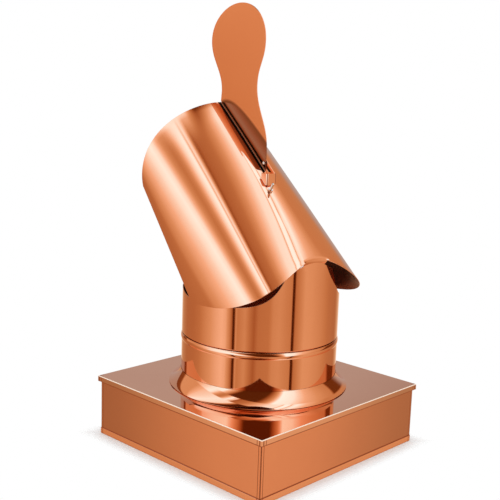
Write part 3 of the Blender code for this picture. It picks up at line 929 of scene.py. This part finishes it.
def foot_painted_light_group():
    """Painted light beside the vane's foot: a painted highlight line, and a painted shadow line under
    the foot.
    """
    tree, given, result = group("foot_painted_light", [PLACE_INPUT, COLOUR_INPUT], [("Colour", COLOUR)])
    s, y, z = on_head(tree, given["Vector"])
    on_crest = maths(tree, "GREATER_THAN", z, crest_z(FOOT_BACK_S) - 2 * FOOT_LINE_OVERRUN)
    before_end = maths(tree, "LESS_THAN", s, FOOT_BACK_S + FOOT_LINE_OVERRUN)
    place = maths(tree, "MULTIPLY", on_crest, before_end)
    painted = given["Colour"]
    for middle, half, colour in FOOT_PAINTED_LIGHT_LINES:
        line = maths(tree, "COMPARE", y, middle, half)
        painted = blended(tree, maths(tree, "MULTIPLY", line, place), painted, colour)
    feed(tree, result["Colour"], painted)
    return tree


def vane_foot_shade_group():
    """Painted shade over the vane's lower part, next to the hood above its foot."""
    tree, given, result = group(
        "vane_foot_shade",
        [
            PLACE_INPUT,
            COLOUR_INPUT,
            ("Tint", COLOUR, (*VANE_SHADE_COLOUR, 1)),
            ("Reach", NUMBER, VANE_SHADE_REACH),
        ],
        [("Colour", COLOUR)],
    )
    s, _, z = on_head(tree, given["Vector"])
    along = maths(tree, "SUBTRACT", s, FOOT_FRONT_S)
    fall = (crest_z(FOOT_FRONT_S) - crest_z(FOOT_BACK_S)) / (FOOT_BACK_S - FOOT_FRONT_S)
    crest = maths(tree, "MULTIPLY_ADD", along, -fall, crest_z(FOOT_FRONT_S))
    over = maths(tree, "SUBTRACT", z, crest)
    decay = maths(tree, "EXPONENT", maths(tree, "MULTIPLY", along, -1 / VANE_SHADE_START))
    reach = maths(tree, "MULTIPLY", maths(tree, "SUBTRACT", 1, decay), given["Reach"])
    mask = smooth(tree, maths(tree, "SUBTRACT", reach, over), -VANE_SHADE_SOFTNESS, VANE_SHADE_SOFTNESS)
    feed(tree, result["Colour"], blended(tree, mask, given["Colour"], given["Tint"]))
    return tree


def base_light_and_marks_group():
    """Painted highlight on the lip's edge, painted shade under the lip and on the sides, painted hem
    sheen; dark in laps and at the corners.
    """
    tree, given, result = group(
        "base_light_and_marks", [PLACE_INPUT, COLOUR_INPUT], [("Colour", COLOUR), ("Metallic", NUMBER)]
    )
    x, y, height = axes(tree, given["Vector"])
    far_x, far_y, _ = axes(tree, vectors(tree, "ABSOLUTE", given["Vector"]))
    out = maths(tree, "MAXIMUM", far_x, far_y)
    along = maths(tree, "MINIMUM", far_x, far_y)
    across = maths(tree, "SUBTRACT", x, y)
    # Painted shade: the base's sides are darker away from their front corner
    shade = smooth(tree, across, *SKIRT_SHADE_REACH, *SKIRT_SHADE)
    below = maths(tree, "LESS_THAN", height, BASE_HEIGHT - 0.5 * MM)
    painted = blended(tree, below, given["Colour"], shade, "MULTIPLY")

    def line(value, middle, half, reach):
        """A line about one value, only as far out as the reach and further."""
        outside = maths(tree, "GREATER_THAN", out, reach)
        return maths(tree, "MULTIPLY", maths(tree, "COMPARE", value, middle, half), outside)

    # Painted shade under the lip, a painted sheen on the hem, and dark laps and corner seams
    for value, lines in ((height, LEVEL_LINES), (along, CORNER_LINES)):
        for middle, half, reach, colour in lines:
            painted = blended(tree, line(value, middle, half, reach), painted, colour)
    # Painted highlight along the lip's top edge, which is also made not metallic
    edge = line(height, *LIP_HIGHLIGHT_LINE)
    feed(tree, result["Colour"], blended(tree, edge, painted, LIP_HIGHLIGHT_COLOUR))
    feed(tree, result["Metallic"], maths(tree, "SUBTRACT", 1, edge))
    return tree


# How much smoother the grain's light lines are
GRAIN_SHINE = 0.2

# Painted light beside the vane's foot: how far it runs on; then middle and half width in y, and
# colour, first of a painted highlight, then of a painted shadow line
FOOT_LINE_OVERRUN = 2 * MM
FOOT_PAINTED_LIGHT_LINES = [
    (-1.2 * MM, 0.5 * MM, (1.0, 0.80, 0.64)),
    (-4.0 * MM, 2.3 * MM, (0.01, 0.004, 0.002)),
]

# Painted shade over the vane's lower part, and the dull inner side of the sheet, painted dark as the
# shade inside the head
VANE_SHADE_COLOUR = (0.31, 0.12, 0.06)
VANE_SHADE_REACH = 39 * MM
VANE_SHADE_START = 30 * MM
VANE_SHADE_SOFTNESS = 2.5 * MM
INSIDE_COLOUR = (0.17, 0.06, 0.035)
INSIDE_ROUGHNESS = 0.3

# The painted highlight on the lip's top edge: height, half width, how far out it starts
LIP_HIGHLIGHT_LINE = (BASE_HEIGHT - 0.35 * MM, 0.6 * MM, LIP_HALF - 0.9 * MM)
LIP_HIGHLIGHT_COLOUR = (1.0, 0.82, 0.68)
# Dark colour of the laps, also used for the painted shade under the lip
LAP_AND_SHADE_COLOUR = (0.50, 0.19, 0.10)
# Level lines round the base: height, half width, how far out they start, colour: painted shade on the
# lip's lower edge and under the lip, a dark lap over the hem, and a painted sheen on the hem
LEVEL_LINES = [
    (BASE_HEIGHT - LIP_DEPTH + 0.3 * MM, 0.5 * MM, SKIRT_HALF + 0.5 * MM, (0.45, 0.16, 0.08)),
    (BASE_HEIGHT - LIP_DEPTH - 1.0 * MM, 1.1 * MM, SKIRT_HALF - 0.3 * MM, LAP_AND_SHADE_COLOUR),
    (HEM_HEIGHT + 0.6 * MM, 0.7 * MM, SKIRT_HALF - 0.3 * MM, LAP_AND_SHADE_COLOUR),
    (HEM_HEIGHT / 2, HEM_HEIGHT / 2 - 0.4 * MM, SKIRT_HALF + 0.3 * MM, (1.0, 0.52, 0.32)),
]
# Upright lines beside each corner of the skirt: place along the side, and as above
CORNER_LINES = [
    (SKIRT_HALF - 0.2 * MM, 0.9 * MM, SKIRT_HALF - 0.9 * MM, (0.40, 0.14, 0.07)),
    (SKIRT_HALF - 4.4 * MM, 0.55 * MM, SKIRT_HALF - 0.3 * MM, (0.45, 0.16, 0.08)),
]
# The skirt's painted shade lessens towards its front corner: from where to where, and how much
SKIRT_SHADE_REACH = (-0.1 * SKIRT_HALF, 1.7 * SKIRT_HALF)
SKIRT_SHADE = (0.68, 1.08)

FOOT_PAINTED_LIGHT = foot_painted_light_group()
VANE_FOOT_SHADE = vane_foot_shade_group()
BASE_LIGHT_AND_MARKS = base_light_and_marks_group()
GRAIN = rolled_grain_group()
WAVES = sheet_wave_group()
HANDLING = handling_group()


def placed(tree, shared, **values):
    """A shared group placed in a material with its own values, on the piece's own places."""
    where = node(tree, "ShaderNodeTexCoord").outputs["Object"]
    made = node(tree, "ShaderNodeGroup", node_tree=shared)
    feed(tree, made.inputs["Vector"], where)
    for label, value in values.items():
        feed(tree, made.inputs[label.replace("_", " ")], value)
    return made.outputs


def copper_finish(name, colour, tarnish, roughness, grain, grain_way, marks, waves, extra=None):
    """Sheet copper: grain is fineness, strength and depth; marks are amount, size and the
    roughness they add; waves are size and depth; extra is a group of marks of its own.
    """
    made = bpy.data.materials.new(name)
    made.use_nodes = True
    tree = made.node_tree
    shader = tree.nodes["Principled BSDF"].inputs
    shader["Metallic"].default_value = 1
    lines = placed(tree, GRAIN, Fineness=grain[0], Strength=grain[1], Stretch=grain_way)
    slow = placed(tree, WAVES, Size=waves[0])
    cloud = placed(
        tree,
        HANDLING,
        Colour=colour,
        Tarnish=tarnish,
        Shade=lines["Shade"],
        Amount=marks[0],
        Cloud_Size=marks[1],
        Roughness=roughness,
        Roughness_Spread=marks[2],
    )
    painted = cloud["Colour"]
    # The extra group adds the piece's own marks and painted light
    if extra:
        mark = placed(tree, extra, Colour=painted)
        painted = mark["Colour"]
        if "Metallic" in mark:
            feed(tree, shader["Metallic"], mark["Metallic"])
    # The inner side of the head's sheet is painted dark, as the shade inside the head, and made
    # rougher
    inside = node(tree, "ShaderNodeAttribute", attribute_name="inside").outputs["Fac"]
    rough = maths(tree, "MULTIPLY_ADD", inside, INSIDE_ROUGHNESS, cloud["Roughness"])
    feed(tree, shader["Base Color"], blended(tree, inside, painted, INSIDE_COLOUR))
    feed(tree, shader["Roughness"], rough)
    waved = {"Strength": 1, "Distance": waves[1], "Height": slow["Height"]}
    waved = node(tree, "ShaderNodeBump", waved).outputs["Normal"]
    grained = {"Strength": 1, "Distance": grain[2], "Height": lines["Height"], "Normal": waved}
    feed(tree, shader["Normal"], node(tree, "ShaderNodeBump", grained).outputs["Normal"])
    return made


def polished_copper():
    return copper_finish(
        "polished_copper",
        (0.90, 0.45, 0.27),
        (0.80, 0.36, 0.20),
        roughness=0.045,
        grain=(700, 0.1, 0.0),
        grain_way=(1, 1, 0.05),
        marks=(0.35, 11, 0.05),
        waves=(6, 0.35 * MM),
        # Painted highlight and painted shadow line beside the vane's foot
        extra=FOOT_PAINTED_LIGHT,
    )


def vane_copper():
    return copper_finish(
        "vane_copper",
        (0.98, 0.45, 0.255),
        (0.93, 0.40, 0.22),
        roughness=0.12,
        grain=(900, 0.12, 0.0),
        grain_way=(1, 1, 0.1),
        marks=(0.3, 14, 0.04),
        waves=(5, 0.05 * MM),
        # Painted shade over the vane's lower part, next to the hood
        extra=VANE_FOOT_SHADE,
    )


def mirror_copper():
    return copper_finish(
        "mirror_copper",
        (0.93, 0.56, 0.40),
        (0.84, 0.46, 0.32),
        roughness=0.03,
        grain=(700, 0.1, 0.0),
        grain_way=(1, 0.05, 1),
        marks=(0.3, 9, 0.05),
        waves=(4, 0.08 * MM),
        # Painted highlight, shade and sheen on the base, with its dark laps
        extra=BASE_LIGHT_AND_MARKS,
    )


def satin_copper():
    return copper_finish(
        "satin_copper",
        (0.88, 0.42, 0.25),
        (0.80, 0.35, 0.20),
        roughness=0.19,
        grain=(800, 0.35, 0.02 * MM),
        grain_way=(0.05, 0.05, 1),
        marks=(0.4, 10, 0.1),
        waves=(6, 0.5 * MM),
        # Painted highlight, shade and sheen on the base, with its dark laps
        extra=BASE_LIGHT_AND_MARKS,
    )


def bolt_metal():
    return copper_finish(
        "bolt_metal",
        (0.80, 0.62, 0.50),
        (0.55, 0.33, 0.22),
        roughness=0.18,
        grain=(2500, 0.2, 0.0),
        grain_way=(1, 1, 1),
        marks=(0.3, 120, 0.1),
        waves=(60, 0.0),
    )


# The studio as the copper mirrors it. Each band is (degrees, brightness from 0 to 1): round
# the hood's own axis for what stands beside it, and by compass for the floor round it.
HOOD_BANDS = [
    (-180, 0.36), (-149, 0.37), (-139, 0.39), (-103, 0.77), (-87, 0.93), (-79, 0.98),
    (-73, 0.92), (-63, 0.53), (-58, 0.43), (-54, 0.50), (-47, 0.89), (-43, 1.00),
    (-41.5, 0.98), (-40.5, 0.62), (-39.5, 0.95), (-37.5, 0.75), (-35.5, 0.22), (-33, 0.33),
    (-23, 0.40), (-17, 0.54), (-9, 0.74), (1, 0.92), (11, 0.95), (12.5, 0.66),
    (14, 1.00), (19.5, 1.00), (21, 0.66), (22.5, 0.92), (27, 0.98), (37, 0.75),
    (57, 0.47), (180, 0.36),
]
HIGH_BANDS = [
    (-180, 0.16), (-162, 0.18), (-155, 0.57), (-108, 0.57), (-85, 0.80), (-50, 0.95),
    (-30, 0.90), (-20, 0.03), (40, 0.03), (80, 0.15), (180, 0.16),
]
LOW_BANDS = [
    (-180, 0.30), (-125, 0.60), (-105, 0.90), (-70, 1.00), (-60, 0.55), (-52, 0.06),
    (-20, 0.06), (-9, 0.50), (0, 1.00), (16, 0.95), (32, 0.72), (60, 0.50), (69, 0.46),
    (73, 0.12), (90, 0.12), (180, 0.30),
]
FLOOR_BANDS = [
    (-180, 0.34), (-160, 0.36), (-145, 0.41), (-112, 0.69), (-103, 0.75), (-97, 0.70),
    (-91, 0.50), (-87, 0.30), (-85.5, 0.00), (-83.5, 0.00), (-82, 0.58), (-79, 0.44),
    (-68, 0.53), (-61, 0.40), (-55, 0.30), (-49, 0.40), (-34, 0.42), (-28, 0.52),
    (-19, 0.55), (-1, 0.45), (0, 0.02), (2.5, 0.02), (4, 0.38), (20, 0.61),
    (31, 0.60), (52, 0.51), (70, 0.40), (94, 0.34), (122, 0.75), (142, 0.75),
    (160, 0.42), (180, 0.34),
]
# The room's colour at each brightness: warm where it is dim, cool in the lamps' white cloths.
TONES = [
    (0.00, (0.05, 0.003, 0.000)),
    (0.08, (0.13, 0.039, 0.007)),
    (0.15, (0.21, 0.063, 0.015)),
    (0.30, (0.44, 0.187, 0.075)),
    (0.45, (0.64, 0.373, 0.196)),
    (0.60, (0.82, 0.573, 0.378)),
    (0.75, (1.05, 0.882, 0.774)),
    (0.88, (1.12, 1.356, 1.590)),
    (1.00, (1.20, 1.956, 2.700)),
]
BACKDROP = (0.50, 0.43, 0.405)
BACKDROP_TURN = (90, 110)
HIGH_TILT = (50, 47)
LOW_TILT = (66, 70)
FLOOR_TILT = (-4, -9)

# The pale floor, and how far from the skirt its shadow shows
FLOOR_RADIUS = 6.0
FLOOR_GAP = 0.2 * MM
PAPER_COLOUR = (0.97, 0.97, 0.97)
SHADOW_REACH = 26 * MM


def ramp(tree, value, stops):
    """A colour ramp from (place, brightness or colour) stops."""
    made = node(tree, "ShaderNodeValToRGB", {"Fac": value})
    bands = made.color_ramp
    for place, _ in stops[1:-1]:
        bands.elements.new(place)
    for band, (place, shade) in zip(bands.elements, stops):
        band.position = place
        band.color = (*shade, 1) if isinstance(shade, tuple) else (shade, shade, shade, 1)
    return made.outputs["Color"]


def bands_round(tree, angle, bands):
    """Bands given in degrees, read at an angle from -pi to pi."""
    turn = maths(tree, "MULTIPLY_ADD", angle, 1 / (2 * math.pi), 0.5)
    return ramp(tree, turn, [((degrees + 180) / 360, shade) for degrees, shade in bands])


def blend_between(tree, value, degrees, first, second):
    """The first colour before one angle, the second after the other, smooth between them."""
    start, end = (math.radians(angle) for angle in degrees)
    if start > end:
        value = maths(tree, "MULTIPLY", value, -1)
        start, end = -start, -end
    return blended(tree, smooth(tree, value, start, end), first, second)


def mixed_surface(tree, output, share, first, second):
    """The second shader over the first by this share, as the tree's surface."""
    choose = node(tree, "ShaderNodeMixShader", {0: share, 1: first, 2: second})
    node(tree, output, {"Surface": choose.outputs[0]})


def studio_world():
    """The lit studio as mirrors see it, and white paper as the lens sees it."""
    world = bpy.data.worlds.new("studio")
    world.use_nodes = True
    bpy.context.scene.world = world
    tree = world.node_tree
    tree.nodes.clear()
    way = node(tree, "ShaderNodeTexCoord").outputs["Generated"]
    axis = Vector((-math.cos(CREST_ANGLE), 0, math.sin(CREST_ANGLE)))
    axis.rotate(Matrix.Rotation(HEAD_TURN, 3, "Z"))
    level = axis.cross((0, 0, 1)).normalized()

    def along(direction):
        inputs = {0: way, 1: direction}
        made = node(tree, "ShaderNodeVectorMath", inputs, operation="DOT_PRODUCT")
        return made.outputs["Value"]

    turn = maths(tree, "ARCTAN2", along(level), along(level.cross(axis)))
    tilt = maths(tree, "ARCCOSINE", along(axis))
    compass = maths(tree, "ARCTAN2", along((0, 1, 0)), along((1, 0, 0)))
    height = maths(tree, "ARCSINE", along((0, 0, 1)))
    glow = bands_round(tree, turn, HOOD_BANDS)
    glow = blend_between(tree, tilt, HIGH_TILT, glow, bands_round(tree, turn, HIGH_BANDS))
    glow = blend_between(tree, tilt, LOW_TILT, glow, bands_round(tree, turn, LOW_BANDS))
    room = ramp(tree, glow, TONES)
    room = blend_between(tree, turn, BACKDROP_TURN, room, BACKDROP)
    floor = ramp(tree, bands_round(tree, compass, FLOOR_BANDS), TONES)
    room = blend_between(tree, height, FLOOR_TILT, room, floor)
    mirror = node(tree, "ShaderNodeBackground", {"Color": room}).outputs[0]
    paper = node(tree, "ShaderNodeBackground", {"Color": (1, 1, 1)}).outputs[0]
    glossy = node(tree, "ShaderNodeLightPath").outputs["Is Glossy Ray"]
    mixed_surface(tree, "ShaderNodeOutputWorld", glossy, paper, mirror)


def paper_floor():
    """The pale floor, which fades into the white room some way off. Mirrors see the room."""
    shape = bmesh.new()
    bmesh.ops.create_circle(shape, cap_ends=True, segments=96, radius=FLOOR_RADIUS)
    obj = shape_object("paper_floor", shape)
    obj.data.transform(Matrix.Translation((0, 0, -FLOOR_GAP)))
    made = bpy.data.materials.new("paper_floor")
    made.use_nodes = True
    tree = made.node_tree
    tree.nodes.clear()
    paper = node(tree, "ShaderNodeBsdfDiffuse", {"Color": PAPER_COLOUR}).outputs[0]
    room = node(tree, "ShaderNodeBsdfTransparent").outputs[0]
    where = node(tree, "ShaderNodeTexCoord").outputs["Object"]
    far_x, far_y, _ = axes(tree, vectors(tree, "ABSOLUTE", where))
    reach = maths(tree, "MAXIMUM", far_x, far_y)
    fade = smooth(tree, reach, SKIRT_HALF, SKIRT_HALF + SHADOW_REACH)
    glossy = node(tree, "ShaderNodeLightPath").outputs["Is Glossy Ray"]
    clear = maths(tree, "MAXIMUM", fade, glossy)
    mixed_surface(tree, "ShaderNodeOutputMaterial", clear, paper, room)
    obj.data.materials.append(made)


def studio_camera():
    """The photograph's view: place, turn, tilt and lens were fitted to the object's edges."""
    back = Vector(
        (
            math.sin(CAMERA_AZIMUTH) * math.cos(CAMERA_PITCH),
            -math.cos(CAMERA_AZIMUTH) * math.cos(CAMERA_PITCH),
            math.sin(CAMERA_PITCH),
        )
    )
    level = Vector((math.cos(CAMERA_AZIMUTH), math.sin(CAMERA_AZIMUTH), 0))
    upright = back.cross(level)
    right = level * math.cos(CAMERA_ROLL) + upright * math.sin(CAMERA_ROLL)
    up = upright * math.cos(CAMERA_ROLL) - level * math.sin(CAMERA_ROLL)
    lens = bpy.data.cameras.new("studio_camera")
    lens.lens = CAMERA_LENS
    lens.sensor_width = 36
    lens.sensor_fit = "HORIZONTAL"
    lens.clip_end = 50
    camera = bpy.data.objects.new("studio_camera", lens)
    turn = Matrix((right, up, back)).transposed().to_4x4()
    camera.matrix_world = Matrix.Translation(CAMERA_PLACE) @ turn
    bpy.context.scene.collection.objects.link(camera)
    bpy.context.scene.camera = camera


def main():
    polished = polished_copper()
    mirror = mirror_copper()
    satin = satin_copper()
    plated = bolt_metal()
    studio_camera()
    studio_world()
    paper_floor()
    head_sheet(polished)
    pipe_wall(polished)
    collar_flare(polished)
    top_plate(mirror)
    skirt_sides(satin)
    vane_plate(vane_copper())
    clip_strip(polished)
    threaded_bolt(plated)
    hex_nut(plated)
    rivet_head(plated)
    bpy.context.scene.view_settings.view_transform = "Standard"


main()
